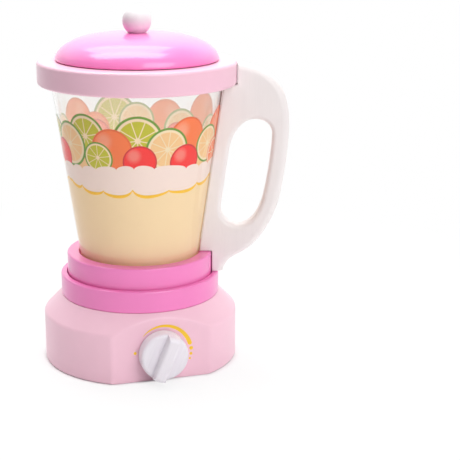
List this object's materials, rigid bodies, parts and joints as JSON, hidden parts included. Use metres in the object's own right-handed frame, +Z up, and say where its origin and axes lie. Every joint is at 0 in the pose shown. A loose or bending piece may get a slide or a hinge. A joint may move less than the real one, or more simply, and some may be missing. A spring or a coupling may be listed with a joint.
{
  "type": "toy blender",
  "caption": "Toy blender: round base with a click dial, lift-off jug with a clear tapered cup and a flat board handle, and a domed lid with a ball knob.",
  "frame": {"origin": "centre of the round base at the face that it stands on", "axes": "+Z up through base, jug and lid; the dial faces -Y; +X to the right of someone who looks at the dial"},
  "size_m": [0.1537, 0.1327, 0.226],
  "materials": {
    "light_pink_paint": "satin light pink paint on turned wood",
    "bright_pink_paint": "satin bright pink paint on turned wood",
    "lid_pink_paint": "gloss bright pink paint on turned wood",
    "white_paint": "satin off-white paint on wood",
    "bare_wood": "bare sanded wood",
    "clear_plastic": "clear moulded plastic",
    "printed_film": "printed film, partly clear",
    "pale_nylon": "natural nylon",
    "spring_steel": "tempered spring steel strip",
    "zinc_screw": "zinc plated steel"
  },
  "bodies": {
    "base": {"base_housing": "light_pink_paint", "bottom_plate": "bare_wood", "plate_screws": "zinc_screw", "seat_ring": "bright_pink_paint", "seat_screws": "zinc_screw", "dial_washer": "pale_nylon", "spring_block": "bare_wood", "click_spring": "spring_steel", "spring_screws": "zinc_screw"},
    "dial": {"dial_knob": "white_paint", "dial_shaft": "bare_wood", "click_wheel": "pale_nylon", "wheel_washer": "zinc_screw", "wheel_screw": "zinc_screw"},
    "jug": {"jug_ring": "bright_pink_paint", "jug_cup": "clear_plastic", "print_film": "printed_film", "jug_collar": "light_pink_paint", "handle": "white_paint", "handle_dowels": "bare_wood"},
    "lid": {"lid_dome": "lid_pink_paint", "lid_plug": "lid_pink_paint", "knob_dowel": "bare_wood", "lid_knob": "white_paint"}
  },
  "joints": [
    {"name": "dial_turn", "type": "hinge", "parent": "base", "child": "dial", "pos_m": [0, -0.0539, 0.0177], "axis": [0, -1, 0], "continuous": true, "deforming": ["click_spring"]},
    {"name": "jug_lift", "type": "slide", "parent": "base", "child": "jug", "axis": [0, 0, 1], "range_m": [0, 0.07]},
    {"name": "lid_lift", "type": "slide", "parent": "jug", "child": "lid", "axis": [0, 0, 1], "range_m": [0, 0.06]}
  ]
}
